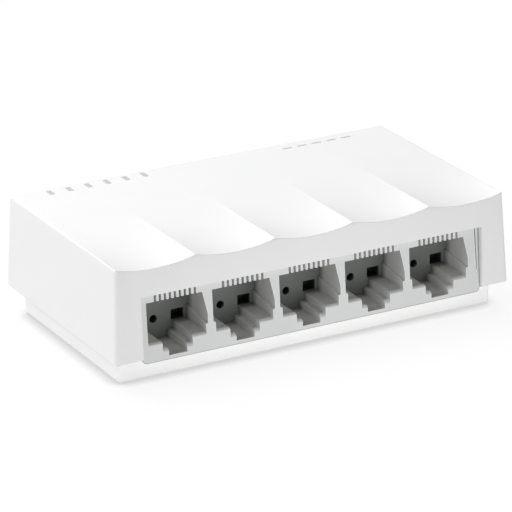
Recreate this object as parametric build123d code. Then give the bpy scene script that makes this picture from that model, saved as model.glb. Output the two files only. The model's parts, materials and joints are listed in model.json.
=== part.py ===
from build123d import *
import math
import os

# Five-port desktop network switch, in millimetres.
# Frame: +X to the right when facing the ports, +Y from the ports to the back, +Z up.
# Origin: centre of the footprint, on the surface that the rubber feet stand on.

# ---------------------------------------------------------------- driving dimensions
# A ganged RJ45 block has ports 0.55 inch apart, and that pitch sets the scale of the rest.
PORTS = 5
PORT_PITCH = 13.97
CONTACTS = 8
CONTACT_PITCH = 1.02

# Outside
FOOT_PROUD = 0.4  # how far the feet stand out of the base
TOP_Z = 23.4  # flat strip and scallop ridges of the cover
SKIRT_Z = 5.35  # lower edge of the cover
TOP_WIDTH = 82.0
TOP_DEPTH = 45.7
DRAFT = 0.85  # how far each side leans out from the top down to the skirt
WALL = 1.8
CEILING_Z = 20.7
CORNER_R = 0.7
RIM_R = 0.45
SCALLOP_PITCH = 16.47
SCALLOP_SAG = 1.0  # depth of each trough at the front edge
SCALLOP_END_Y = 7.0  # where the troughs run out into the flat strip

# Base tray
BASE_HALF_X = 39.8
BASE_HALF_Y = 20.4
BASE_WALL = 1.3
BASE_FLOOR = 1.5
BASE_RIM_Z = 7.2
SILL_Z = 3.95  # low front wall under the ports
TRAY_CORNER_R = 0.6
TRAY_CHAMFER = 0.25
BOARD_BOSS_R = 2.4
CORNER_PADS_X = (-36.8, 36.8)
CORNER_PADS_Y = (-10.2, 17.4)
CORNER_PAD = (2.4, 2.0)
NOSE_RESTS_X = (-24.0, 0.0, 24.0)
NOSE_REST_Y = -16.0
NOSE_REST = (1.2, 5.0)

# Port block. Its front leans back a little, just behind the front of the cover.
PORTS_MIDDLE_X = -0.75  # the ports sit left of centre, and the block's right end is thicker
BLOCK_HALF_X = 36.0
BLOCK_FRONT_Y = -22.9
BLOCK_FRONT_TOP_Y = -21.85
BLOCK_BACK_Y = -4.9
BLOCK_BOTTOM_Z = 4.1
BLOCK_TOP_Z = 18.45
BLOCK_CORNER_R = 0.9
NOSE_BACK_Y = -11.6  # the nose hangs down in front of the board
CAVITY_BACK_Y = -14.2
CAVITY_HALF = 6.45
GUIDE_HALF = 6.0  # between the guide ribs, for a plug 11.7 wide
GUIDE_FRONT_Z = 9.3
GUIDE_BACK_Z = 10.5
LEDGE_Z = 7.75  # the plug's body lies here
LEDGE_HALF = 3.1
STEP_Z = 6.3
STEP_HALF = 1.9
CHANNEL_Z = 4.85
LEAD_R = 1.1  # round front ends of ledges and steps
COMB_Z = 15.6
COMB_BACK_Y = -21.3
COMB_GAP = 0.54
PORT_CEILING_Z = 17.7
BAY_BOTTOM_Z = 17.5
BAY_TOP_Z = 18.1
BAY_HALF = 4.2
POCKET_HALF = 5.4
POCKET_FRONT_Y = -11.0
CORE_BACK_Y = -11.4
SQUARE_CORE = (2.9, 5.6, 7.8, 9.9)  # x, x, z, z from the middle of a port
ROUND_CORE = (-0.7, 8.75, 0.8)  # x, z and radius
LEAD_IN_WIDTH = 1.3
LEAD_IN_DEPTH = 2.6
LEAD_IN_FOOT_Z = 9.9
SLIT = ((35.12, 17.7), (35.4, 17.7), (35.62, 8.6), (35.44, 8.6))  # x and z of its corners
SLIT_DEPTH = 1.6
STEP_EDGE_R = 0.4

# Contact wires
WIRE = 0.36
WIRE_DEPTH = 0.26
WIRE_AXIS = (COMB_BACK_Y + 0.55, BAY_TOP_Z - 0.55)  # y and z of the line that the springs turn about
WIRE_BEND = (COMB_BACK_Y + 0.4, BAY_TOP_Z - 0.85)
WIRE_TIP = (CAVITY_BACK_Y - 0.8, 14.7)
PIN_ROWS_Y = (-6.3, -8.7)
PIN_BOTTOM_Z = 2.6

# Circuit board
BOARD_BOTTOM_Z = 3.4
BOARD_TOP_Z = 5.0
BOARD_HALF_X = 38.0
BOARD_FRONT_Y = -11.4
BOARD_BACK_Y = 18.9
BOARD_SCREWS = ((4.5, 16.2), (-34.6, 0.0), (34.6, 0.0))

# Cover screws
COVER_SCREWS = ((-34.8, 8.0), (34.8, 8.0))
POST_R = 3.2
POST_BOTTOM_Z = 7.1
BOSS_R = 3.7
SCREW_R = 1.25
SCREW_HEAD_R = 2.3
SCREW_HEAD = 1.6  # height of a head
SCREW_TIP_Z = 14.5  # where the tips end
SCREW_EDGE_R = 0.35
CROSS_WIDTH = 0.5
CROSS_DEPTH = 0.7
PLAY = 0.05  # radial clearance of a shank in its hole

# Lamps
LAMPS = 6
LAMP_FIRST_X = -33.4
LAMP_PITCH = 4.0
LAMP_Y = 17.9
WINDOW_Y = 20.4
WINDOW_X = 0.9
WINDOW_LENGTH = 2.2
GUIDE_BAR_Z = (15.5, 16.9)
GUIDE_BAR_BACK_Y = 21.1
PEGS_X = (-31.4, -15.4)
LED_BASE = (1.6, 0.8, 0.3)
LED_LENS = (1.0, 0.8, 0.3)
LIGHT_PRONG = (1.5, 1.5)
LIGHT_PRONG_Z = 5.8
WINDOW_GAP = 0.06

# Power socket
SOCKET_X = 26.0
SOCKET_Z = 11.4
SOCKET_HALF = 4.6
SOCKET_FRONT_Y = 8.6
SOCKET_BACK_Y = 21.2
SOCKET_TOP_Z = 16.4
BARREL_R = 3.15
BARREL_DEPTH = 9.6
SOCKET_NOSE_Y = 23.2
CENTRE_PIN_R = 1.0
LEAF_AXIS_Y = 12.75

# Opening in the cover's front
OPENING_HALF_X = 36.14
OPENING_TOP_Z = 17.3

# Clips between base and cover
CLIP = 0.45
CLIP_LENGTH = 8.0
CLIP_Z = (5.9, 6.9)
CLIP_PLAY = 0.3

# Small parts on the board, and their places
BOARD_SCREW_R = 0.95
BOARD_SCREW_HEAD_R = 1.9
BOARD_SCREW_HEAD = 1.3
SCREW_SEAT_Z = 3.4
PEG_Y = 19.0
PEG_R = 0.6
CHIP_AT = (-6.0, 10.2)
CHIP_SIZE = 9.6
CHIP_Z = (5.15, 6.55)
CHIP_LEADS = 14  # on each side
CHIP_LEAD_PITCH = 0.62
TRANSFORMERS_X = (-24.0, 0.0, 24.0)
TRANSFORMER_Y = -0.2
TRANSFORMER_SIZE = (12.6, 6.0)
TRANSFORMER_Z = (5.2, 9.2)
TRANSFORMER_LEADS = 8
TRANSFORMER_LEAD_PITCH = 1.4
CRYSTAL_AT = (8.2, 7.6)
CRYSTAL_PINS = (CRYSTAL_AT[0] - 2.44, CRYSTAL_AT[0] + 2.44)
CRYSTAL_CAN = (10.8, 4.4)
CRYSTAL_RIM = (11.4, 4.9)
CRYSTAL_RIM_Z = (5.1, 5.5)
CRYSTAL_TOP_Z = 9.0
CAPACITOR_AT = (17.6, 7.8)
CAPACITOR_R = 3.15
CAPACITOR_Z = (5.1, 14.1)
CAPACITOR_GROOVE = (1.2, 1.9, 0.3)  # from and to above its base, and depth
CAPACITOR_PINS = (CAPACITOR_AT[0] - 1.25, CAPACITOR_AT[0] + 1.25)
INDUCTOR_AT = (12.2, 14.6)
INDUCTOR_SIZE = 5.0
INDUCTOR_TOP_Z = 8.0
INDUCTOR_WELL = (1.5, 2.1, 0.8)  # core radius, well radius and depth
REGULATOR_AT = (17.8, 14.6)
REGULATOR_SIZE = (3.0, 1.7)
REGULATOR_Z = (5.1, 6.2)
RESISTOR_ROW_Y = 14.6
RESISTOR = (0.8, 1.6, 0.45)
CHIP_CAPACITOR = (1.6, 0.8, 0.8)
CHIP_CAPACITORS_X = (-27.0, -23.5, -20.0, -16.5)
CHIP_CAPACITORS_Y = (6.6, 10.2)
TAIL_LENGTH = 0.6  # how far solder tails stand out under the board
LABEL_SINK = 0.3
VENTS = 10
VENT_PITCH = 4.0
VENT_ROW_Y = 13.2
VENT = (1.4, 4.0)
SOCKET_PINS = ((0.0, 8.1), (-3.6, 12.2))  # x from the socket's centre, and y
SIDE_TAIL = (0.4, 0.7)
LEAF_WINDOW_Y = (11.6, 20.6)
SOCKET_NOSE_R = 4.1
LEAF_WIDTH = 2.0
LEAF_THICKNESS = 0.25
LEAF_INSET = 3.75  # from the socket's axis to the leaf
PIN_TIP_INSET = 1.2

# Feet, label
FOOT_R = 4.0
FOOT_SINK = 0.6
FOOT_EDGE_R = 0.3
FOOT_GAP = 0.15
FEET = {
    "foot_front_left": (-33.5, -14.5),
    "foot_front_right": (33.5, -14.5),
    "foot_back_left": (-33.5, 16.0),
    "foot_back_right": (33.5, 16.0),
}
LABEL = (46.0, 18.0, 0.15)
LABEL_GAP = 0.3

# ---------------------------------------------------------------- worked out from these
FLOOR_Z = FOOT_PROUD + BASE_FLOOR
PORTS_X = [PORTS_MIDDLE_X + (i - (PORTS - 1) / 2) * PORT_PITCH for i in range(PORTS)]
LAMPS_X = [LAMP_FIRST_X + i * LAMP_PITCH for i in range(LAMPS)]
CONTACTS_X = [(i - (CONTACTS - 1) / 2) * CONTACT_PITCH for i in range(CONTACTS)]
COMB_GAPS_X = [(i - CONTACTS / 2) * CONTACT_PITCH for i in range(CONTACTS + 1)]


# ---------------------------------------------------------------- helpers
def block(x, y, z):
    """A box from three (low, high) ranges."""
    low = Vector(x[0], y[0], z[0])
    size = Vector(x[1], y[1], z[1]) - low
    corner = (Align.MIN, Align.MIN, Align.MIN)
    return Pos(low) * Box(size.X, size.Y, size.Z, align=corner)


def about(centre, size, z):
    """A box centred on (x, y), of size (x, y), between two heights."""
    x_range = (centre[0] - size[0] / 2, centre[0] + size[0] / 2)
    y_range = (centre[1] - size[1] / 2, centre[1] + size[1] / 2)
    return block(x_range, y_range, z)


def rod(centre, radius, z):
    """An upright cylinder between two heights."""
    base = (Align.CENTER, Align.CENTER, Align.MIN)
    return Pos(centre[0], centre[1], z[0]) * Cylinder(radius, z[1] - z[0], align=base)


def rod_along_y(x, z, radius, y):
    """A cylinder along Y between two depths."""
    turned = Rot(-90, 0, 0) * Cylinder(
        radius, y[1] - y[0], align=(Align.CENTER, Align.CENTER, Align.MIN)
    )
    return Pos(x, y[0], z) * turned


def side_profile(points, x):
    """A closed outline of (y, z) points, extruded between two x values."""
    face = Face(Wire.make_polygon([(x[0], y, z) for y, z in points], close=True))
    return extrude(face, amount=x[1] - x[0], dir=(1, 0, 0))


def front_profile(points, y):
    """A closed outline of (x, z) points, extruded between two y values."""
    face = Face(Wire.make_polygon([(px, y[0], pz) for px, pz in points], close=True))
    return extrude(face, amount=y[1] - y[0], dir=(0, 1, 0))


def bent_wire(points, x, width, thickness):
    """A flat wire along (y, z) points, mitred at its bends, of a width along X."""
    left, right = [], []
    for i, (y, z) in enumerate(points):
        turns = []
        for a, b in ((i - 1, i), (i, i + 1)):
            if a >= 0 and b < len(points):
                dy = points[b][0] - points[a][0]
                dz = points[b][1] - points[a][1]
                turns.append(math.atan2(dz, dy))
        middle = sum(turns) / len(turns)
        reach = thickness / 2 / math.cos((turns[0] - turns[-1]) / 2)
        left.append((y - reach * math.sin(middle), z + reach * math.cos(middle)))
        right.append((y + reach * math.sin(middle), z - reach * math.cos(middle)))
    return side_profile(left + right[::-1], (x - width / 2, x + width / 2))


def drafted(half_x, half_y, z, lean):
    """A block whose four sides lean in by a given amount from bottom to top."""
    bottom = Pos(0, 0, z[0]) * Rectangle(2 * half_x, 2 * half_y)
    top = Pos(0, 0, z[1]) * Rectangle(2 * (half_x - lean), 2 * (half_y - lean))
    return loft([bottom, top], ruled=True)


def save(name, *solids):
    """Writes one node, which is one solid or a group of separate ones."""
    found = [s for shape in solids for s in shape.solids()]
    shape = found[0] if len(found) == 1 else Compound(found)
    export_step(shape, f"parts/{name}.step")


# ---------------------------------------------------------------- cover
def scallop_cutter(index):
    """The space over one trough: a parabola across, which runs out towards the back."""
    front = -TOP_DEPTH / 2
    start = front - 3
    length = SCALLOP_END_Y - start
    sag = SCALLOP_SAG * (length / (SCALLOP_END_Y - front)) ** 2
    left = (index - PORTS / 2) * SCALLOP_PITCH
    net = []
    for i in range(3):
        row = []
        for j in range(3):
            drop = 2 * sag * (1, 0.04, 0)[j] if i == 1 else 0
            x = left + i * SCALLOP_PITCH / 2
            row.append(Vector(x, start + j * length / 2, TOP_Z - drop))
        net.append(row)
    return extrude(Face.make_bezier_surface(net), amount=4, dir=(0, 0, 1))


def cover_shell():
    """The drafted box with its rounded edges and scalloped top, open underneath."""
    foot_x = TOP_WIDTH / 2 + DRAFT
    foot_y = TOP_DEPTH / 2 + DRAFT
    outer = drafted(foot_x, foot_y, (SKIRT_Z, TOP_Z), DRAFT)
    uprights = outer.edges().filter_by(lambda e: abs(e.tangent_at(0.5).Z) > 0.9)
    outer = fillet(uprights, CORNER_R)
    rim = outer.edges().group_by(Axis.Z)[-1]
    outer = fillet([e for e in rim if e.center().Y > CORNER_R / 2 - TOP_DEPTH / 2], RIM_R)
    for i in range(PORTS):
        outer -= scallop_cutter(i)
    lean = DRAFT * (CEILING_Z - SKIRT_Z) / (TOP_Z - SKIRT_Z)
    return outer - drafted(foot_x - WALL, foot_y - WALL, (SKIRT_Z, CEILING_Z), lean)


def make_top_cover():
    cover = cover_shell()
    front = (-TOP_DEPTH / 2 - 2, -TOP_DEPTH / 2 + 3)
    opening = (-OPENING_HALF_X, OPENING_HALF_X)
    cover -= block(opening, front, (SKIRT_Z - 1, OPENING_TOP_Z))
    # Over the opening the wall is thinner inside, and the top of the port block goes behind it.
    rebate_y = (BLOCK_FRONT_TOP_Y - 0.2, front[1])
    cover -= block(opening, rebate_y, (OPENING_TOP_Z - 1, BLOCK_TOP_Z + 0.2))
    # Posts take the cover screws, and pegs hold the light guide.
    for centre in COVER_SCREWS:
        cover += rod(centre, POST_R, (POST_BOTTOM_Z, CEILING_Z + 0.5))
        cover -= rod(centre, SCREW_R + PLAY, (POST_BOTTOM_Z - 1, CEILING_Z - 5))
    for x in PEGS_X:
        cover += rod((x, PEG_Y), PEG_R, (GUIDE_BAR_Z[0] - 0.4, CEILING_Z + 0.5))
    # Lamp windows, power inlet and the recesses that the base clips snap into.
    for x in LAMPS_X:
        size = (WINDOW_X + WINDOW_GAP, WINDOW_LENGTH + WINDOW_GAP)
        cover -= about((x, WINDOW_Y), size, (GUIDE_BAR_Z[1] - 0.5, TOP_Z + 1))
    cover -= rod_along_y(SOCKET_X, SOCKET_Z, SOCKET_NOSE_R + 0.15, (20, 26))
    for side in (-1, 1):
        x = sorted((side * (BASE_HALF_X - 1), side * (BASE_HALF_X + CLIP + 0.1)))
        half = CLIP_LENGTH / 2 + CLIP_PLAY
        cover -= block(x, (-half, half), CLIP_Z)
    return cover


# ---------------------------------------------------------------- base
def make_bottom_cover():
    tray = block(
        (-BASE_HALF_X, BASE_HALF_X), (-BASE_HALF_Y, BASE_HALF_Y), (FOOT_PROUD, BASE_RIM_Z)
    )
    uprights = tray.edges().filter_by(Axis.Z)
    tray = fillet(uprights, TRAY_CORNER_R)
    tray = chamfer(tray.edges().group_by(Axis.Z)[0], TRAY_CHAMFER)
    inner_x = BASE_HALF_X - BASE_WALL
    inner_y = BASE_HALF_Y - BASE_WALL
    tray -= block((-inner_x, inner_x), (-inner_y, inner_y), (FLOOR_Z, BASE_RIM_Z + 1))
    # The wall drops to a low sill under the ports, and is notched for the power socket.
    sill_x = BLOCK_HALF_X + 0.15
    tray -= block((-sill_x, sill_x), (-BASE_HALF_Y - 1, -inner_y), (SILL_Z, BASE_RIM_Z + 1))
    notch = SOCKET_HALF + 0.25
    notch_x = (SOCKET_X - notch, SOCKET_X + notch)
    tray -= block(notch_x, (inner_y - 1, BASE_HALF_Y + 1), (BOARD_TOP_Z - 0.2, BASE_RIM_Z + 1))
    # Bosses for both kinds of screw, and pads that carry the board.
    for centre in COVER_SCREWS:
        tray += rod(centre, BOSS_R, (FLOOR_Z - 0.5, POST_BOTTOM_Z - PLAY))
        tray -= rod(centre, SCREW_HEAD_R + 0.3, (0, SCREW_SEAT_Z))
        tray -= rod(centre, SCREW_R + 0.2, (0, POST_BOTTOM_Z + 1))
    for centre in BOARD_SCREWS:
        tray += rod(centre, BOARD_BOSS_R, (FLOOR_Z - 0.5, BOARD_BOTTOM_Z))
        tray -= rod(centre, BOARD_SCREW_R + PLAY, (FLOOR_Z - 0.4, BOARD_BOTTOM_Z + 1))
    for x in CORNER_PADS_X:
        for y in CORNER_PADS_Y:
            tray += about((x, y), CORNER_PAD, (FLOOR_Z - 0.5, BOARD_BOTTOM_Z))
    for x in NOSE_RESTS_X:
        tray += about((x, NOSE_REST_Y), NOSE_REST, (FLOOR_Z - 0.5, BLOCK_BOTTOM_Z))
    # Clips on the side walls, recesses for feet and label, and two rows of vents.
    for side in (-1, 1):
        outline = [
            (side * (BASE_HALF_X - 0.2), CLIP_Z[0] + 0.25),
            (side * (BASE_HALF_X + CLIP), CLIP_Z[0] + 0.25),
            (side * (BASE_HALF_X - 0.2), CLIP_Z[1] - 0.2),
        ]
        tray += front_profile(outline, (-CLIP_LENGTH / 2, CLIP_LENGTH / 2))
    for centre in FEET.values():
        tray -= rod(centre, FOOT_R + FOOT_GAP, (0, FOOT_PROUD + FOOT_SINK))
    recess = (LABEL[0] + 2 * LABEL_GAP, LABEL[1] + 2 * LABEL_GAP)
    tray -= about((0, 0), recess, (0, FOOT_PROUD + LABEL_SINK))
    vents = []
    for y in (-VENT_ROW_Y, VENT_ROW_Y):
        for i in range(VENTS):
            x = (i - (VENTS - 1) / 2) * VENT_PITCH
            vents.append(about((x, y), VENT, (0, FLOOR_Z + 1)))
    return tray - vents


def make_foot(centre):
    pad = rod(centre, FOOT_R, (0, FOOT_PROUD + FOOT_SINK))
    return fillet(pad.edges().group_by(Axis.Z)[0], FOOT_EDGE_R)


def screw(centre, radius, head_radius, head_z, tip_z, down):
    """A cross-head screw. down is 1 where its head faces down, and -1 where it faces up."""
    low, high = sorted((head_z[0], head_z[1]))
    head = rod(centre, head_radius, (low, high))
    outer_face = head.edges().group_by(Axis.Z)[0 if down > 0 else -1]
    head = fillet(outer_face, SCREW_EDGE_R)
    shank = rod(centre, radius, sorted((head_z[1], tip_z)))
    tip = shank.edges().group_by(Axis.Z)[-1 if down > 0 else 0]
    body = head + chamfer(tip, radius * 0.6)
    slot_z = sorted((head_z[0] - 0.1 * down, head_z[0] + CROSS_DEPTH * down))
    for size in ((head_radius * 1.1, CROSS_WIDTH), (CROSS_WIDTH, head_radius * 1.1)):
        body -= about(centre, size, slot_z)
    return body


# ---------------------------------------------------------------- ports
def round_leads(port_x):
    """What is cut off the fronts of a port's ledges and steps, to leave quarter rounds."""
    cuts = []
    for z, inner, outer in ((LEDGE_Z, LEDGE_HALF, GUIDE_HALF), (STEP_Z, STEP_HALF, LEDGE_HALF)):
        start = Vector(0, BLOCK_FRONT_Y + LEAD_R, z - LEAD_R)
        for side in (-1, 1):
            x = sorted((port_x + side * inner, port_x + side * outer))
            corner = block(x, (BLOCK_FRONT_Y - 1, start.Y), (start.Z, z + 1))
            upright = Cylinder(LEAD_R, x[1] - x[0] + 2)
            nose = Rot(0, 90, 0) * upright
            cuts.append(corner - Pos(sum(x) / 2, start.Y, start.Z) * nose)
    return cuts


def port_cavity(x, left_half):
    """Everything that is hollow in one port, in front of its back wall."""
    y = (BLOCK_FRONT_Y - 1, CAVITY_BACK_Y)
    throat = (COMB_BACK_Y, y[1])
    bay = (COMB_BACK_Y, BLOCK_BACK_Y + 1)
    hollow = [
        block((x - GUIDE_HALF, x + GUIDE_HALF), y, (LEDGE_Z, COMB_Z)),
        block((x - left_half, x + CAVITY_HALF), throat, (COMB_Z - 0.5, PORT_CEILING_Z)),
        block((x - BAY_HALF, x + BAY_HALF), bay, (BAY_BOTTOM_Z, BAY_TOP_Z)),
    ]
    over_guides = [
        (y[0], GUIDE_FRONT_Z),
        (BLOCK_FRONT_Y, GUIDE_FRONT_Z),
        (y[1], GUIDE_BACK_Z),
        (y[1], COMB_Z),
        (y[0], COMB_Z),
    ]
    hollow.append(side_profile(over_guides, (x - left_half, x + CAVITY_HALF)))
    # The latch runs in a stepped channel.
    step = block((x - LEDGE_HALF, x + LEDGE_HALF), y, (STEP_Z, LEDGE_Z + 1))
    channel = block((x - STEP_HALF, x + STEP_HALF), y, (CHANNEL_Z, STEP_Z + 1))
    hollow += [step, channel]
    # The comb has a finger in front of each contact.
    for gap_x in COMB_GAPS_X:
        at = (x + gap_x, BLOCK_FRONT_Y)
        hollow.append(about(at, (COMB_GAP, 4.0), (COMB_Z - 1, PORT_CEILING_Z)))
    # The back wall has a square and a round core hole.
    core_y = (y[1] - 1, CORE_BACK_Y)
    left, right, low, high = SQUARE_CORE
    hollow.append(block((x + left, x + right), core_y, (low, high)))
    hollow.append(rod_along_y(x + ROUND_CORE[0], ROUND_CORE[1], ROUND_CORE[2], core_y))
    # The carrier sits in a pocket that is open behind and below.
    pocket_y = (POCKET_FRONT_Y, BLOCK_BACK_Y + 1)
    hollow.append(block((x - POCKET_HALF, x + POCKET_HALF), pocket_y, (0, PORT_CEILING_Z)))
    return hollow


def port_lead_in(x):
    """A wedge on the right-hand wall that steers a plug in, widest at its top."""
    wall = x + CAVITY_HALF + 0.3
    top = COMB_Z + 0.3
    # Its front lies in the leaning front of the block.
    slope = (BLOCK_FRONT_TOP_Y - BLOCK_FRONT_Y) / (BLOCK_TOP_Z - BLOCK_BOTTOM_Z)
    foot_y = BLOCK_FRONT_Y + slope * (LEAD_IN_FOOT_Z - BLOCK_BOTTOM_Z)
    top_y = BLOCK_FRONT_Y + slope * (top - BLOCK_BOTTOM_Z)
    corners = {
        "foot": Vector(wall, foot_y, LEAD_IN_FOOT_Z),
        "inner": Vector(wall - LEAD_IN_WIDTH, top_y, top),
        "outer": Vector(wall, top_y, top),
        "back": Vector(wall, top_y + LEAD_IN_DEPTH, top),
    }
    sides = (
        ("foot", "inner", "outer"),
        ("foot", "inner", "back"),
        ("foot", "outer", "back"),
        ("inner", "outer", "back"),
    )
    faces = [Face(Wire.make_polygon([corners[c] for c in side], close=True)) for side in sides]
    return Solid(Shell(faces))


def near_any(edge, corners):
    """Whether an edge along Y runs through one of some (x, z) corners."""
    at = edge.center()
    return any(abs(at.X - x) < 0.01 and abs(at.Z - z) < 0.01 for x, z in corners)


def make_jack_housing():
    x = (-BLOCK_HALF_X, BLOCK_HALF_X)
    outline = [
        (BLOCK_FRONT_Y, BLOCK_BOTTOM_Z),
        (BLOCK_FRONT_TOP_Y, BLOCK_TOP_Z),
        (NOSE_BACK_Y, BLOCK_TOP_Z),
        (NOSE_BACK_Y, BLOCK_BOTTOM_Z),
    ]
    nose = side_profile(outline, x)
    lower = [e for e in nose.edges().filter_by(Axis.Y) if e.center().Z < BLOCK_TOP_Z - 1]
    nose = fillet(lower, BLOCK_CORNER_R)
    housing = nose + block(x, (NOSE_BACK_Y - 0.5, BLOCK_BACK_Y), (BOARD_TOP_Z, BLOCK_TOP_Z))
    for i, port_x in enumerate(PORTS_X):
        # The first port has a thicker outer wall.
        left_half = GUIDE_HALF if i == 0 else CAVITY_HALF
        housing -= port_cavity(port_x, left_half)
        housing += port_lead_in(port_x)
    # A slit sets the thin right end of the block off from the last port's wall.
    housing -= front_profile(SLIT, (BLOCK_FRONT_Y - 1, BLOCK_FRONT_Y + SLIT_DEPTH))
    corners = []
    for port_x in PORTS_X:
        for side in (-1, 1):
            corners.append((port_x + side * LEDGE_HALF, LEDGE_Z))
            corners.append((port_x + side * STEP_HALF, STEP_Z))
    rounded = [
        e
        for e in housing.edges().filter_by(Axis.Y)
        if near_any(e, corners) and e.center().Y < CAVITY_BACK_Y
    ]
    housing = fillet(rounded, STEP_EDGE_R)
    for port_x in PORTS_X:
        housing -= round_leads(port_x)
    return housing


def make_contact_springs(port_x):
    """The free lengths of one port's contacts, which a plug pushes up."""
    path = [(WIRE_AXIS[0] + 0.35, WIRE_AXIS[1]), WIRE_BEND, WIRE_TIP]
    return [bent_wire(path, port_x + x, WIRE, WIRE_DEPTH) for x in CONTACTS_X]


def make_contact_pins(port_x):
    """The fixed lengths: up from the board, then forward under the block's ceiling."""
    pins = []
    for i, contact_x in enumerate(CONTACTS_X):
        pin_y = PIN_ROWS_Y[i % 2]
        x = (port_x + contact_x - WIRE / 2, port_x + contact_x + WIRE / 2)
        top = (BAY_TOP_Z - 0.02 - WIRE, BAY_TOP_Z - 0.02)
        upright = block(x, (pin_y - WIRE / 2, pin_y + WIRE / 2), (PIN_BOTTOM_Z, top[1]))
        pins.append(upright + block(x, (WIRE_AXIS[0] - 0.1, pin_y), top))
    return pins


def make_contact_carrier(port_x):
    """The insert that closes the pocket and holds the pins at their pitch."""
    x = (port_x - POCKET_HALF + 0.08, port_x + POCKET_HALF - 0.08)
    body = block(x, (POCKET_FRONT_Y + 0.1, BLOCK_BACK_Y), (BOARD_TOP_Z + 0.1, PORT_CEILING_Z - 0.05))
    hole = WIRE + 0.04
    holes = []
    for i, contact_x in enumerate(CONTACTS_X):
        centre = (port_x + contact_x, PIN_ROWS_Y[i % 2])
        holes.append(about(centre, (hole, hole), (0, BLOCK_TOP_Z)))
    return body - holes


# ---------------------------------------------------------------- board and its parts
def make_circuit_board():
    board = block(
        (-BOARD_HALF_X, BOARD_HALF_X), (BOARD_FRONT_Y, BOARD_BACK_Y), (BOARD_BOTTOM_Z, BOARD_TOP_Z)
    )
    through = (BOARD_BOTTOM_Z - 1, BOARD_TOP_Z + 1)
    holes = [rod(centre, BOSS_R + 0.3, through) for centre in COVER_SCREWS]
    holes += [rod(centre, BOARD_SCREW_R + 0.2, through) for centre in BOARD_SCREWS]
    for port_x in PORTS_X:
        for i, contact_x in enumerate(CONTACTS_X):
            holes.append(rod((port_x + contact_x, PIN_ROWS_Y[i % 2]), 0.33, through))
    for x, y in SOCKET_PINS:
        holes.append(about((SOCKET_X + x, y), (1.5, 1.0), through))
    for x in CAPACITOR_PINS:
        holes.append(rod((x, CAPACITOR_AT[1]), 0.4, through))
    for x in CRYSTAL_PINS:
        holes.append(rod((x, CRYSTAL_AT[1]), 0.35, through))
    return board - holes


def chip_body(centre, size, z):
    """A moulded package with bevelled edges and a round pin-one mark."""
    body = about(centre, size, z)
    body = chamfer(body.edges().group_by(Axis.Z)[-1], min(0.25, (z[1] - z[0]) / 4))
    mark = (centre[0] - size[0] / 2 + 0.9, centre[1] - size[1] / 2 + 0.9)
    return body - rod(mark, 0.4, (z[1] - 0.08, z[1] + 1))


def gull_leads(centre, half, count, pitch, reach, lift, along_x):
    """Two facing rows of bent leads on a package, which meet it at half from its centre."""
    leads = []
    for side in (-1, 1):
        for i in range(count):
            offset = (i - (count - 1) / 2) * pitch
            path = [
                (half, BOARD_TOP_Z + lift),
                (half + reach * 0.4, BOARD_TOP_Z + lift),
                (half + reach * 0.6, BOARD_TOP_Z + 0.1),
                (half + reach, BOARD_TOP_Z + 0.1),
            ]
            lead = bent_wire(path, 0, pitch * 0.45, 0.18)
            turn = (0 if side > 0 else 180) - (90 if along_x else 0)
            shift = (0, offset, 0) if along_x else (offset, 0, 0)
            leads.append(Pos(centre[0], centre[1], 0) * Pos(*shift) * Rot(0, 0, turn) * lead)
    return leads


def make_switch_chip():
    return chip_body(CHIP_AT, (CHIP_SIZE, CHIP_SIZE), CHIP_Z)


def make_switch_chip_leads():
    half = CHIP_SIZE / 2
    leads = []
    for along_x in (False, True):
        leads += gull_leads(CHIP_AT, half, CHIP_LEADS, CHIP_LEAD_PITCH, 1.0, 0.8, along_x)
    return leads


def make_transformer(x):
    return chip_body((x, TRANSFORMER_Y), TRANSFORMER_SIZE, TRANSFORMER_Z)


def make_transformer_leads(x):
    half = TRANSFORMER_SIZE[1] / 2
    pitch = TRANSFORMER_LEAD_PITCH
    return gull_leads((x, TRANSFORMER_Y), half, TRANSFORMER_LEADS, pitch, 1.2, 1.2, False)


def make_crystal():
    can = about(CRYSTAL_AT, CRYSTAL_CAN, (CRYSTAL_RIM_Z[1], CRYSTAL_TOP_Z))
    can = fillet(can.edges().filter_by(Axis.Z), CRYSTAL_CAN[1] / 2 - 0.1)
    can = fillet(can.edges().group_by(Axis.Z)[-1], 0.5)
    rim = about(CRYSTAL_AT, CRYSTAL_RIM, CRYSTAL_RIM_Z)
    can += fillet(rim.edges().filter_by(Axis.Z), CRYSTAL_RIM[1] / 2 - 0.05)
    pin_z = (BOARD_BOTTOM_Z - TAIL_LENGTH, CRYSTAL_RIM_Z[0] + 0.1)
    for x in CRYSTAL_PINS:
        can += rod((x, CRYSTAL_AT[1]), 0.25, pin_z)
    return can


def make_capacitor():
    """A radial can with a pressed groove near its base."""
    base = CAPACITOR_Z[0]
    can = fillet(rod(CAPACITOR_AT, CAPACITOR_R, CAPACITOR_Z).edges(), 0.4)
    low, high, depth = CAPACITOR_GROOVE
    groove = rod(CAPACITOR_AT, CAPACITOR_R + 1, (base + low, base + high))
    can -= groove - rod(CAPACITOR_AT, CAPACITOR_R - depth, CAPACITOR_Z)
    for x in CAPACITOR_PINS:
        can += rod((x, CAPACITOR_AT[1]), 0.3, (BOARD_BOTTOM_Z - TAIL_LENGTH, base + 0.5))
    return can


def make_inductor():
    z = (BOARD_TOP_Z, INDUCTOR_TOP_Z)
    body = about(INDUCTOR_AT, (INDUCTOR_SIZE, INDUCTOR_SIZE), z)
    body = chamfer(body.edges().filter_by(Axis.Z), 0.8)
    core_r, well_r, depth = INDUCTOR_WELL
    well = rod(INDUCTOR_AT, well_r, (INDUCTOR_TOP_Z - depth, INDUCTOR_TOP_Z + 1))
    return body - (well - rod(INDUCTOR_AT, core_r, z))


def make_regulator():
    return chip_body(REGULATOR_AT, REGULATOR_SIZE, REGULATOR_Z)


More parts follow.
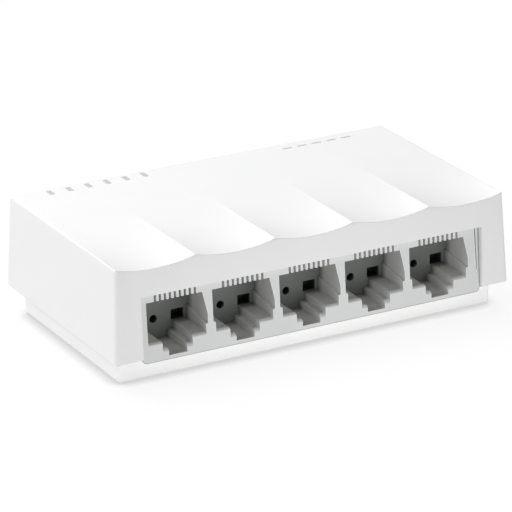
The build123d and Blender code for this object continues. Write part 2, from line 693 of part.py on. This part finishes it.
def chips_on_board(places, size):
    """Small ceramic chip parts of size (x, y, z), each a separate solid."""
    z = (BOARD_TOP_Z, BOARD_TOP_Z + size[2])
    return [about(place, size[:2], z) for place in places]


def make_chip_resistors():
    return chips_on_board([(x, RESISTOR_ROW_Y) for x in LAMPS_X], RESISTOR)


def make_chip_capacitors():
    places = [(x, y) for x in CHIP_CAPACITORS_X for y in CHIP_CAPACITORS_Y]
    return chips_on_board(places, CHIP_CAPACITOR)


def make_lamp(x):
    """A surface-mount LED: a pad with a lens on it."""
    base_top = BOARD_TOP_Z + LED_BASE[2]
    pad = about((x, LAMP_Y), LED_BASE[:2], (BOARD_TOP_Z, base_top))
    return pad + about((x, LAMP_Y), LED_LENS[:2], (base_top, base_top + LED_LENS[2]))


def make_light_guide():
    """Prongs over the LEDs, a bar, and flat prongs that fill the windows in the cover."""
    bar_x = (LAMPS_X[0] - 1.5, LAMPS_X[-1] + 1.5)
    guide = block(bar_x, (LAMP_Y - 0.9, GUIDE_BAR_BACK_Y), GUIDE_BAR_Z)
    for x in LAMPS_X:
        guide += about((x, LAMP_Y), LIGHT_PRONG, (LIGHT_PRONG_Z, GUIDE_BAR_Z[0] + 0.2))
        prong_z = (GUIDE_BAR_Z[1] - 0.2, TOP_Z)
        guide += about((x, WINDOW_Y), (WINDOW_X, WINDOW_LENGTH), prong_z)
    for x in PEGS_X:
        guide -= rod((x, PEG_Y), PEG_R + PLAY, (GUIDE_BAR_Z[0] - 1, GUIDE_BAR_Z[1] + 1))
    return guide


# ---------------------------------------------------------------- power socket
def make_socket_housing():
    x = (SOCKET_X - SOCKET_HALF, SOCKET_X + SOCKET_HALF)
    y = (SOCKET_FRONT_Y, SOCKET_BACK_Y)
    body = block(x, y, (BOARD_TOP_Z, SOCKET_TOP_Z))
    body = fillet(body.edges().filter_by(Axis.Y).group_by(Axis.Z)[-1], 0.8)
    body += rod_along_y(SOCKET_X, SOCKET_Z, SOCKET_NOSE_R, (SOCKET_BACK_Y - 0.5, SOCKET_NOSE_Y))
    mouth = (SOCKET_NOSE_Y - BARREL_DEPTH, SOCKET_NOSE_Y + 1)
    body -= rod_along_y(SOCKET_X, SOCKET_Z, BARREL_R, mouth)
    # The spring leaf lies in a window in the left-hand wall, and the pin in a hole behind.
    leaf_x = (x[0] - 1, SOCKET_X - 2.0)
    body -= block(leaf_x, LEAF_WINDOW_Y, (SOCKET_Z - 1.3, SOCKET_Z + 1.3))
    body -= rod_along_y(SOCKET_X, SOCKET_Z, CENTRE_PIN_R, (y[0] - 1, mouth[1]))
    tail_at = (SOCKET_X + SOCKET_PINS[1][0], SOCKET_PINS[1][1])
    body -= about(tail_at, SIDE_TAIL, (0, SOCKET_Z))
    return body


def make_centre_pin():
    y = (SOCKET_FRONT_Y - 0.6, SOCKET_NOSE_Y - PIN_TIP_INSET)
    pin = rod_along_y(SOCKET_X, SOCKET_Z, CENTRE_PIN_R, y)
    return fillet(pin.edges().group_by(Axis.Y)[-1], CENTRE_PIN_R / 2)


def make_socket_terminals():
    """The solder tails of the centre pin and of the spring leaf."""
    tail_z = (BOARD_BOTTOM_Z - TAIL_LENGTH, SOCKET_Z + 1.6)
    (pin_x, pin_y), (leaf_x, leaf_y) = SOCKET_PINS
    back = about((SOCKET_X + pin_x, pin_y), (3.4, 0.4), (tail_z[1] - 3.2, tail_z[1]))
    back += about((SOCKET_X + pin_x, pin_y), (1.2, 0.4), tail_z)
    back -= rod_along_y(SOCKET_X, SOCKET_Z, CENTRE_PIN_R, (0, 20))
    side = about((SOCKET_X + leaf_x, leaf_y), SIDE_TAIL, (tail_z[0], SOCKET_Z + 1.2))
    return [back, side]


def make_socket_leaf():
    """A strip with a bulge near its free end, which a plug's barrel pushes outwards."""
    x = SOCKET_X - LEAF_INSET
    start = LEAF_AXIS_Y
    path = [(start, x), (start + 4.0, x + 0.1), (start + 5.2, x + 1.0), (start + 6.6, x + 0.1)]
    strip = bent_wire(path, 0, LEAF_WIDTH, LEAF_THICKNESS)
    # The strip is drawn on its side, then stood up about the socket's axis.
    return Pos(0, 0, SOCKET_Z) * Rot(0, 90, 0) * strip


# ---------------------------------------------------------------- writing
def main():
    os.makedirs("parts", exist_ok=True)
    save("top_cover", make_top_cover())
    save("bottom_cover", make_bottom_cover())
    save("jack_housing", make_jack_housing())
    for number, port_x in enumerate(PORTS_X, start=1):
        save(f"port_{number}_contact_springs", *make_contact_springs(port_x))
        save(f"port_{number}_contact_pins", *make_contact_pins(port_x))
        save(f"port_{number}_contact_carrier", make_contact_carrier(port_x))
    save("circuit_board", make_circuit_board())
    save("switch_chip", make_switch_chip())
    save("switch_chip_leads", *make_switch_chip_leads())
    for number, x in enumerate(TRANSFORMERS_X, start=1):
        save(f"line_transformer_{number}", make_transformer(x))
        save(f"line_transformer_{number}_leads", *make_transformer_leads(x))
    save("crystal", make_crystal())
    save("electrolytic_capacitor", make_capacitor())
    save("power_inductor", make_inductor())
    save("voltage_regulator", make_regulator())
    save("chip_resistors", *make_chip_resistors())
    save("chip_capacitors", *make_chip_capacitors())
    for number, x in enumerate(LAMPS_X, start=1):
        name = "power_led" if number == LAMPS else f"port_{number}_led"
        save(name, make_lamp(x))
    save("light_guide", make_light_guide())
    save("power_socket_housing", make_socket_housing())
    save("power_socket_pin", make_centre_pin())
    save("power_socket_leaf", make_socket_leaf())
    save("power_socket_terminals", *make_socket_terminals())
    for name, centre in FEET.items():
        save(name, make_foot(centre))
    head = (SCREW_SEAT_Z - SCREW_HEAD, SCREW_SEAT_Z)
    fasteners = [screw(c, SCREW_R, SCREW_HEAD_R, head, SCREW_TIP_Z, 1) for c in COVER_SCREWS]
    save("cover_screws", *fasteners)
    head = (BOARD_TOP_Z + BOARD_SCREW_HEAD, BOARD_TOP_Z)
    size = (BOARD_SCREW_R, BOARD_SCREW_HEAD_R)
    fasteners = [screw(c, *size, head, FLOOR_Z - 0.3, -1) for c in BOARD_SCREWS]
    save("board_screws", *fasteners)
    sink = FOOT_PROUD + LABEL_SINK
    save("rating_label", about((0, 0), LABEL[:2], (sink - LABEL[2], sink)))


main()
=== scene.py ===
import math

import bmesh
import bpy
from mathutils import Matrix, Vector
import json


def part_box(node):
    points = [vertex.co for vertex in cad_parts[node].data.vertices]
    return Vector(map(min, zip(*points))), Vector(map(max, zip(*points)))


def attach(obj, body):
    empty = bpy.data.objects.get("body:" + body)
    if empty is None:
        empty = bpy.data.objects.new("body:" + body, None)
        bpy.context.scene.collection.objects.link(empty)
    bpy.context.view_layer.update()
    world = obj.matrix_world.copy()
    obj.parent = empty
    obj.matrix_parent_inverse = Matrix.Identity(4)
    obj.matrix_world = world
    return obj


# A small white network switch on a pale floor. Metres; +X right along the ports, +Y back, +Z up.
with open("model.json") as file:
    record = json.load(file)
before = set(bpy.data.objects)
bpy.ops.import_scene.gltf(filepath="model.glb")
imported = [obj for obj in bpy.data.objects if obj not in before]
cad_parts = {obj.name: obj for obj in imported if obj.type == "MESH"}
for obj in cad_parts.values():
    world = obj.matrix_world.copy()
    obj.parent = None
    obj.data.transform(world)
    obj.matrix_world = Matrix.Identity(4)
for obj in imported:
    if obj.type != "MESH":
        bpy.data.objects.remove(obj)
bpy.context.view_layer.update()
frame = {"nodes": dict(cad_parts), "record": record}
nodes = frame["nodes"]
MM = 0.001
BLACK = (0.0, 0.0, 0.0)
WHITE = (1.0, 1.0, 1.0)

# ---------------------------------------------------------------- camera and lamps
CAMERA_AT = Vector((-0.2841, -0.5301, 0.2422))
YAW, PITCH, ROLL = math.radians(28.18), math.radians(21.05), math.radians(-0.80)
LENS, SENSOR = 236.8, 36  # millimetres, as Blender wants them
CLIP_NEAR, CLIP_FAR = 0.01, 20
SWITCH_MIDDLE = (0, 0, 0.01)


def make_camera():
    """A long lens at the front left, aimed by yaw, pitch and roll."""
    forward = Vector(
        (math.sin(YAW) * math.cos(PITCH), math.cos(YAW) * math.cos(PITCH), -math.sin(PITCH))
    )
    level = Vector((math.cos(YAW), -math.sin(YAW), 0))
    upright = level.cross(forward)
    right = level * math.cos(ROLL) + upright * math.sin(ROLL)
    up = upright * math.cos(ROLL) - level * math.sin(ROLL)
    data = bpy.data.cameras.new("camera")
    data.lens = LENS
    data.sensor_width = SENSOR
    data.clip_start, data.clip_end = CLIP_NEAR, CLIP_FAR
    camera = bpy.data.objects.new("camera", data)
    axes = Matrix((right, up, -forward)).transposed()
    camera.matrix_world = Matrix.Translation(CAMERA_AT) @ axes.to_4x4()
    bpy.context.scene.collection.objects.link(camera)
    bpy.context.scene.camera = camera


def softbox(name, at, size, watts, aim=SWITCH_MIDDLE):
    """A rectangular area light that the camera doesn't see directly."""
    data = bpy.data.lights.new(name, "AREA")
    data.shape = "RECTANGLE"
    data.size, data.size_y = size
    data.energy = watts
    lamp = bpy.data.objects.new(name, data)
    lamp.location = at
    lamp.rotation_euler = (Vector(aim) - Vector(at)).to_track_quat("-Z", "Y").to_euler()
    lamp.visible_camera = False
    bpy.context.scene.collection.objects.link(lamp)
    return lamp


# ---------------------------------------------------------------- material kit
MIX_FIRST, MIX_SECOND, MIX_RESULT = 6, 7, 2  # the colour sockets of a Mix node


class Surface:
    """A Principled material that is built up from small procedural parts."""

    def __init__(self, name):
        self.material = bpy.data.materials.new(name)
        self.material.use_nodes = True
        self.tree = self.material.node_tree
        self.shader = self.tree.nodes["Principled BSDF"]
        self.coords = self.tree.nodes.new("ShaderNodeTexCoord")

    def add(self, kind, **settings):
        node = self.tree.nodes.new(kind)
        for name, value in settings.items():
            setattr(node, name, value)
        return node

    def link(self, output, target):
        self.tree.links.new(output, target)

    def colour(self, tone):
        self.link(tone, self.shader.inputs["Base Color"])

    def roughness(self, value):
        self.link(value, self.shader.inputs["Roughness"])

    def set(self, **values):
        for name, value in values.items():
            self.shader.inputs[name.replace("_", " ")].default_value = value

    def mapped(self, scale, location=(0, 0, 0)):
        """Object coordinates, scaled axis by axis and then moved."""
        mapping = self.add("ShaderNodeMapping")
        mapping.inputs["Location"].default_value = location
        mapping.inputs["Scale"].default_value = scale
        self.link(self.coords.outputs["Object"], mapping.inputs["Vector"])
        return mapping.outputs["Vector"]

    def noise(self, scale, detail=2.0, stretch=(1, 1, 1)):
        """Noise with about this many blotches per metre, longer on axes with a small stretch."""
        noise = self.add("ShaderNodeTexNoise")
        noise.inputs["Scale"].default_value = scale
        noise.inputs["Detail"].default_value = detail
        self.link(self.mapped(stretch), noise.inputs["Vector"])
        return noise.outputs["Fac"]

    def ranged(self, value, low, high, start=0.3, end=0.7):
        """A value brought from start..end into low..high."""
        ranged = self.add("ShaderNodeMapRange")
        self.link(value, ranged.inputs["Value"])
        ranged.inputs["From Min"].default_value = start
        ranged.inputs["From Max"].default_value = end
        ranged.inputs["To Min"].default_value = low
        ranged.inputs["To Max"].default_value = high
        return ranged.outputs["Result"]

    def mix(self, factor, first, second, blend="MIX"):
        """Two colours, each a tuple or an output, mixed by a float or an output."""
        mix = self.add("ShaderNodeMix", data_type="RGBA", blend_type=blend)
        if isinstance(factor, float):
            mix.inputs["Factor"].default_value = factor
        else:
            self.link(factor, mix.inputs["Factor"])
        for socket, colour in ((MIX_FIRST, first), (MIX_SECOND, second)):
            if isinstance(colour, tuple):
                mix.inputs[socket].default_value = (*colour, 1)
            else:
                self.link(colour, mix.inputs[socket])
        return mix.outputs[MIX_RESULT]

    def shaded(self, tone, factor, shade):
        """A tone that is multiplied by a shade where the factor is one."""
        return self.mix(1.0, tone, self.mix(factor, WHITE, shade), "MULTIPLY")

    def product(self, first, second):
        node = self.add("ShaderNodeMath", operation="MULTIPLY")
        self.link(first, node.inputs[0])
        self.link(second, node.inputs[1])
        return node.outputs[0]

    def absolute(self, value):
        node = self.add("ShaderNodeMath", operation="ABSOLUTE")
        self.link(value, node.inputs[0])
        return node.outputs[0]

    def facing(self, name):
        """How far a face turns towards +X, +Y or +Z, from -1 to 1."""
        split = self.add("ShaderNodeSeparateXYZ")
        self.link(self.coords.outputs["Normal"], split.inputs["Vector"])
        return split.outputs[name]

    def axis(self, name, start, end):
        """Zero to one between two places along X, Y or Z."""
        split = self.add("ShaderNodeSeparateXYZ")
        self.link(self.coords.outputs["Object"], split.inputs["Vector"])
        return self.ranged(split.outputs[name], 0, 1, start, end)

    def edges(self, radius):
        """The normal softened within a radius, and a value that is one on such edges only."""
        bevel = self.add("ShaderNodeBevel", samples=4)
        bevel.inputs["Radius"].default_value = radius
        geometry = self.add("ShaderNodeNewGeometry")
        dot = self.add("ShaderNodeVectorMath", operation="DOT_PRODUCT")
        self.link(bevel.outputs["Normal"], dot.inputs[0])
        self.link(geometry.outputs["Normal"], dot.inputs[1])
        return bevel.outputs["Normal"], self.ranged(dot.outputs["Value"], 1, 0, 0.8, 1.0)

    def bump(self, height, depth, normal=None):
        """Raises the surface by up to a depth, over a normal that is already softened."""
        bump = self.add("ShaderNodeBump")
        bump.inputs["Distance"].default_value = depth
        self.link(height, bump.inputs["Height"])
        if normal:
            self.link(normal, bump.inputs["Normal"])
        self.link(bump.outputs["Normal"], self.shader.inputs["Normal"])


def darker(colour, amount):
    return tuple(part * (1 - amount) for part in colour)


def lighter(colour, amount):
    return tuple(min(1, part + (1 - part) * amount) for part in colour)


# ---------------------------------------------------------------- plastics
CLOUDS = 90  # blotches per metre of the faint cloudiness in moulded plastic
EDGE_POLISH = -0.12  # handled edges are this much smoother


def moulded(name, colour, roughness, grain, depth,
            edge=0.15 * MM, mottle=0.03, edge_wear_and_highlight=0.35, soften=True):
    """Moulded plastic: a spark-eroded grain, a faint cloudiness, and smoother edges, paler from
    wear and from a painted highlight.
    """
    surface = Surface(name)
    cloud = surface.noise(CLOUDS)
    speck = surface.noise(grain, 3)
    tone = surface.mix(surface.ranged(cloud, 0, 1), darker(colour, mottle), colour)
    normal, on_edges = surface.edges(edge)
    # Paler edges: partly wear and partly a painted highlight.
    surface.colour(surface.mix(on_edges, tone, lighter(colour, edge_wear_and_highlight)))
    smoother = surface.add("ShaderNodeMath", operation="MULTIPLY_ADD")
    surface.link(on_edges, smoother.inputs[0])
    smoother.inputs[1].default_value = EDGE_POLISH
    surface.link(surface.ranged(speck, roughness - 0.06, roughness + 0.08), smoother.inputs[2])
    surface.roughness(smoother.outputs[0])
    surface.bump(speck, depth, normal if soften else None)
    return surface


def moulded_tone(surface):
    """The colour that moulded() has given a surface, as an output to build on."""
    return surface.shader.inputs["Base Color"].links[0].from_socket


CASE_FINISH = dict(roughness=0.42, grain=5200, depth=0.010 * MM, mottle=0.012)


def cover_plastic():
    """Matt white ABS, a touch paler on its edges, partly from wear and partly a painted highlight.
    """
    colour = (0.79, 0.79, 0.795)
    return moulded("cover_plastic", colour, edge=0.14 * MM, edge_wear_and_highlight=0.1, **CASE_FINISH).material


def base_plastic():
    """The tray's plastic, with a line of shade along its walls under the cover's skirt."""
    surface = moulded("base_plastic", (0.92, 0.92, 0.915), **CASE_FINISH)
    left_and_right = surface.axis("Z", 3.60 * MM, 3.66 * MM)
    front_and_back = surface.axis("Z", 3.80 * MM, 3.87 * MM)
    shade = surface.mix(surface.absolute(surface.facing("X")), front_and_back, left_and_right)
    surface.colour(surface.shaded(moulded_tone(surface), shade, (0.5, 0.5, 0.5)))
    return surface.material


# Places in the port block, in metres behind its front face.
# Where the floors of the ports turn paler, as painted light.
LIT_FLOOR_STARTS, LIT_FLOOR_ENDS = 0.8 * MM, 2.5 * MM
SHADE_STARTS, SHADE_ENDS = 6.6 * MM, 8.65 * MM
CORE_STARTS, CORE_ENDS = 8.9 * MM, 9.4 * MM
# The front outline of the port block, and how far inside it the line of shade starts and ends.
OUTLINE_RADIUS = 0.9 * MM
RIM_STARTS, RIM_ENDS = 0.16 * MM, 0.08 * MM


def jack_plastic():
    """Satin grey polyester, with painted shade deepening towards the backs of the ports, painted
    light on their floors and painted highlights on its edges.
    """
    surface = moulded("jack_plastic", (0.655, 0.665, 0.66), 0.40, 3600, 0.012 * MM,
                      edge=0.18 * MM, edge_wear_and_highlight=1.0, soften=False)
    low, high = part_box("jack_housing")
    # Painted light: the up-facing floors of the ports are paler from a little way behind the front.
    lit_floors = surface.product(
        surface.ranged(surface.facing("Z"), 0, 1, 0.5, 0.9),
        surface.axis("Y", low.y + LIT_FLOOR_STARTS, low.y + LIT_FLOOR_ENDS),
    )
    tone = surface.mix(lit_floors, moulded_tone(surface), (0.90, 0.91, 0.905))
    # Painted shade: darker towards the backs of the ports, and near black on the cores behind them.
    deep = surface.axis("Y", low.y + SHADE_STARTS, low.y + SHADE_ENDS)
    tone = surface.shaded(tone, deep, (0.27, 0.28, 0.275))
    core = surface.axis("Y", low.y + CORE_STARTS, low.y + CORE_ENDS)
    tone = surface.shaded(tone, core, (0.14, 0.14, 0.14))
    # A line of shade follows the rounded outline of the front, where the block meets the covers.
    rim = surface.product(
        surface.ranged(
            past_core(surface, low, high, OUTLINE_RADIUS),
            0, 1, OUTLINE_RADIUS - RIM_STARTS, OUTLINE_RADIUS - RIM_ENDS,
        ),
        surface.ranged(surface.facing("Y"), 1, 0, -0.95, -0.85),
    )
    surface.colour(surface.shaded(tone, rim, (0.45, 0.45, 0.45)))
    return surface.material


def past_core(surface, low, high, radius):
    """How far a point in X and Z lies past the core of a rounded box: the radius on its outline."""
    middle = (low + high) / 2
    half = (high - low) / 2
    place = surface.mapped((1, 0, 1), (-middle.x, 0, -middle.z))
    for operation, value in (
        ("ABSOLUTE", None),
        ("SUBTRACT", (half.x - radius, 0, half.z - radius)),
        ("MAXIMUM", (0, 0, 0)),
        ("LENGTH", None),
    ):
        step = surface.add("ShaderNodeVectorMath", operation=operation)
        surface.link(place, step.inputs[0])
        if value:
            step.inputs[1].default_value = value
        place = step.outputs["Value" if operation == "LENGTH" else "Vector"]
    return place


def light_guide_plastic():
    """Frosted translucent polycarbonate."""
    surface = moulded("light_guide_plastic", (0.58, 0.59, 0.60), 0.30, 4200, 0.006 * MM)
    surface.set(Transmission_Weight=0.1, IOR=1.58)
    return surface.material


def led_resin():
    surface = moulded("led_resin", (0.82, 0.80, 0.55), 0.22, 5000, 0.002 * MM, mottle=0.1)
    surface.set(Transmission_Weight=0.2, IOR=1.5)
    return surface.material


# ---------------------------------------------------------------- metals, board, label and ink
def metal(name, colour, roughness, stretch, scratches=0.004 * MM):
    """Drawn or plated metal: fine lines along one axis, and a duller bloom in patches."""
    surface = Surface(name)
    lines = surface.noise(2600, 4, stretch)
    bloom = surface.noise(700, 2)
    surface.colour(surface.mix(surface.ranged(bloom, 0, 1), darker(colour, 0.18), colour))
    surface.roughness(surface.ranged(lines, roughness - 0.08, roughness + 0.14))
    normal, _ = surface.edges(0.06 * MM)
    surface.bump(lines, scratches, normal)
    surface.set(Metallic=1.0)
    return surface.material


def board_laminate():
    """Green solder mask over copper tracks on its faces, and bare glass laminate at its edges."""
    surface = Surface("board_laminate")
    mask, track, laminate = (0.015, 0.12, 0.05), (0.03, 0.22, 0.09), (0.42, 0.38, 0.20)
    tracks = surface.add("ShaderNodeTexBrick")
    tracks.inputs["Scale"].default_value = 260
    tracks.inputs["Mortar Size"].default_value = 0.012
    tracks.inputs["Mortar Smooth"].default_value = 0.2
    surface.link(surface.coords.outputs["Object"], tracks.inputs["Vector"])
    face = surface.mix(tracks.outputs["Fac"], mask, track)
    weave = surface.noise(3000, 2, (1, 1, 4))
    edge = surface.mix(weave, darker(laminate, 0.3), laminate)
    surface.colour(surface.mix(surface.absolute(surface.facing("Z")), edge, face))
    surface.roughness(surface.ranged(surface.noise(500), 0.22, 0.34))
    surface.bump(tracks.outputs["Fac"], 0.03 * MM)
    surface.set(Coat_Weight=0.4, Coat_Roughness=0.15)
    return surface.material


def label_film():
    """Satin film with a faint brushed look."""
    surface = Surface("label_film")
    lines = surface.noise(1800, 3, (0.03, 1, 1))
    surface.colour(surface.mix(lines, (0.80, 0.80, 0.81), (0.86, 0.86, 0.87)))
    surface.roughness(surface.ranged(lines, 0.28, 0.42))
    surface.bump(lines, 0.003 * MM)
    return surface.material


def print_ink():
    """Pad-printed grey ink with a slightly broken cover."""
    surface = Surface("print_ink")
    colour = (0.42, 0.43, 0.44)
    speck = surface.noise(9000, 3)
    surface.colour(surface.mix(surface.ranged(speck, 0, 1), lighter(colour, 0.15), colour))
    surface.roughness(surface.ranged(speck, 0.45, 0.65))
    surface.bump(speck, 0.002 * MM)
    return surface.material


# ---------------------------------------------------------------- materials by slot
ALONG_Y, ALONG_Z, ALL_ROUND = (1, 0.04, 1), (1, 1, 0.04), (1, 1, 1)
# Each plain moulding: colour, roughness, specks of grain per metre, depth of the grain, mottle.
MOULDINGS = {
    "carrier_plastic": ((0.045, 0.045, 0.05), 0.5, 3200, 0.01 * MM, 0.03),
    "chip_moulding": ((0.03, 0.03, 0.034), 0.55, 6000, 0.012 * MM, 0.03),
    "inductor_ferrite": ((0.10, 0.10, 0.105), 0.6, 2500, 0.03 * MM, 0.03),
    "chip_ceramic": ((0.50, 0.36, 0.22), 0.45, 5000, 0.01 * MM, 0.12),
    "socket_plastic": ((0.035, 0.035, 0.04), 0.38, 3400, 0.012 * MM, 0.03),
    "foot_rubber": ((0.22, 0.22, 0.23), 0.75, 2600, 0.03 * MM, 0.15),
}
MATERIALS = {
    "cover_plastic": cover_plastic(),
    "base_plastic": base_plastic(),
    "jack_plastic": jack_plastic(),
    "contact_metal": metal("contact_metal", (0.83, 0.68, 0.36), 0.24, ALONG_Y),
    "board_laminate": board_laminate(),
    "lead_metal": metal("lead_metal", (0.74, 0.74, 0.75), 0.3, ALL_ROUND),
    "can_metal": metal("can_metal", (0.80, 0.80, 0.82), 0.26, ALONG_Z),
    "led_resin": led_resin(),
    "light_guide_plastic": light_guide_plastic(),
    "screw_steel": metal("screw_steel", (0.66, 0.66, 0.68), 0.3, ALL_ROUND, 0.008 * MM),
    "label_film": label_film(),
}
for slot, (colour, roughness, grain, depth, mottle) in MOULDINGS.items():
    finish = moulded(slot, colour, roughness, grain, depth, mottle=mottle)
    MATERIALS[slot] = finish.material


def dress_frame():
    """Gives every CAD node the finish of its slot in the record."""
    for part in frame["record"]["subparts"]:
        mesh = nodes[part["node"]].data
        mesh.materials.clear()
        mesh.materials.append(MATERIALS[part["material_slot"]])


# ---------------------------------------------------------------- printed marks
INK_PROUD, INK_THICKNESS = 0.003 * MM, 0.010 * MM  # the rest of the ink is sunk into the face
BAR_END_STEPS = 6
# The mark on the cover: five bars in a row along X.
MARK_AT = (17.9 * MM, 19.9 * MM)
MARK_BARS, MARK_PITCH = 5, 3.3 * MM
MARK_LENGTH, MARK_HEIGHT = 2.2 * MM, 0.62 * MM
# The rows of bars on the label, whose lengths are in millimetres.
LABEL_ROWS = ((9, 6, 12), (14, 7), (5, 11, 8), (12, 9), (7, 5, 6))
LABEL_MARGIN_X, LABEL_MARGIN_Y = 3 * MM, 3.2 * MM
LABEL_PITCH, LABEL_HEIGHT, LABEL_GAP = 2.9 * MM, 0.9 * MM, 1.2 * MM


def printed(name, patches, z, material, facing=1):
    """Thin ink patches, each a ring of (x, y) points, on a flat face of the housing."""
    build = bmesh.new()
    for ring in patches:
        corners = [build.verts.new((x, y, z + facing * INK_PROUD)) for x, y in ring]
        face = build.faces.new(corners)
        if face.normal.z * facing < 0:
            face.normal_flip()
    skin = bmesh.ops.extrude_face_region(build, geom=build.faces[:])
    moved = [v for v in skin["geom"] if isinstance(v, bmesh.types.BMVert)]
    bmesh.ops.translate(build, verts=moved, vec=(0, 0, -facing * INK_THICKNESS))
    bmesh.ops.recalc_face_normals(build, faces=build.faces[:])
    mesh = bpy.data.meshes.new(name)
    build.to_mesh(mesh)
    build.free()
    mesh.materials.append(material)
    piece = bpy.data.objects.new(name, mesh)
    bpy.context.scene.collection.objects.link(piece)
    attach(piece, "housing")


def rounded_bar(centre, length, height):
    """The outline of a bar with round ends, along X."""
    radius = height / 2
    ring = []
    for end, start in ((1, -90), (-1, 90)):
        for i in range(BAR_END_STEPS + 1):
            angle = math.radians(start + 180 * i / BAR_END_STEPS)
            x = centre[0] + end * (length / 2 - radius) + radius * math.cos(angle)
            ring.append((x, centre[1] + radius * math.sin(angle)))
    return ring


def make_prints():
    """A plain row of bars on the cover, and ruled bars on the label, in place of any wording."""
    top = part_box("top_cover")[1].z
    ink = print_ink()
    bars = []
    for i in range(MARK_BARS):
        centre = (MARK_AT[0] + i * MARK_PITCH, MARK_AT[1])
        bars.append(rounded_bar(centre, MARK_LENGTH, MARK_HEIGHT))
    printed("cover_mark", bars, top, ink)
    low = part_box("rating_label")[0]
    lines = []
    for row, lengths in enumerate(LABEL_ROWS):
        x = low.x + LABEL_MARGIN_X
        y = low.y + LABEL_MARGIN_Y + row * LABEL_PITCH
        for length in lengths:
            lines.append(rounded_bar((x + length * MM / 2, y), length * MM, LABEL_HEIGHT))
            x += length * MM + LABEL_GAP
    printed("label_lines", lines, low.z, ink, facing=-1)


# ---------------------------------------------------------------- studio
FLOOR_HALF = 3.0
FLOOR_GLOW = 0.86
CONTACT_REACH = 3.5 * MM  # how far from the switch its soft shade on the floor goes
CONTACT_SHADE = 0.70  # the darkest that this shade gets
AMBIENT = 0.22


def make_floor():
    """Glowing pale paper, which sets the white of the background, with shade round the base."""
    paper = Surface("floor_paper")
    contact = paper.add("ShaderNodeAmbientOcclusion", samples=16)
    contact.inputs["Distance"].default_value = CONTACT_REACH
    shade = paper.ranged(contact.outputs["AO"], CONTACT_SHADE, 1, 0.45, 0.9)
    tone = paper.mix(shade, BLACK, WHITE)
    fibre = paper.ranged(paper.noise(900, 4), 0, 1)
    sheet = paper.mix(fibre, (0.118, 0.118, 0.118), (0.124, 0.124, 0.124))
    paper.colour(paper.mix(1.0, sheet, tone, "MULTIPLY"))
    paper.link(tone, paper.shader.inputs["Emission Color"])
    paper.set(Roughness=0.9, Specular_IOR_Level=0.1, Emission_Strength=FLOOR_GLOW)
    mesh = bpy.data.meshes.new("floor")
    corners = [(x * FLOOR_HALF, y * FLOOR_HALF, 0) for x, y in ((-1, -1), (1, -1), (1, 1), (-1, 1))]
    mesh.from_pydata(corners, [], [(0, 1, 2, 3)])
    mesh.materials.append(paper.material)
    floor = bpy.data.objects.new("floor", mesh)
    bpy.context.scene.collection.objects.link(floor)


def make_studio():
    """A dim even world, three softboxes from the back and left, and a low strip for the ports."""
    world = bpy.data.worlds.new("studio")
    bpy.context.scene.world = world
    world.use_nodes = True
    background = world.node_tree.nodes["Background"]
    background.inputs["Color"].default_value = (*WHITE, 1)
    background.inputs["Strength"].default_value = AMBIENT
    softbox("top_light", at=(-0.08, 0.50, 0.84), size=(1.1, 1.1), watts=10.9)
    softbox("left_high_light", at=(-0.50, 0.10, 0.85), size=(0.5, 0.5), watts=1.7)
    softbox("left_light", at=(-0.80, 0.05, 0.56), size=(0.5, 0.5), watts=2.8)
    strip_at, port_height = (0.0, -0.085, 0.006), (0, 0, 0.006)
    strip = softbox("low_front_light", strip_at, (0.11, 0.012), 0.021, aim=port_height)
    strip.visible_glossy = False
    make_floor()
    bpy.context.scene.view_settings.view_transform = "Standard"


make_studio()
make_camera()
dress_frame()
make_prints()
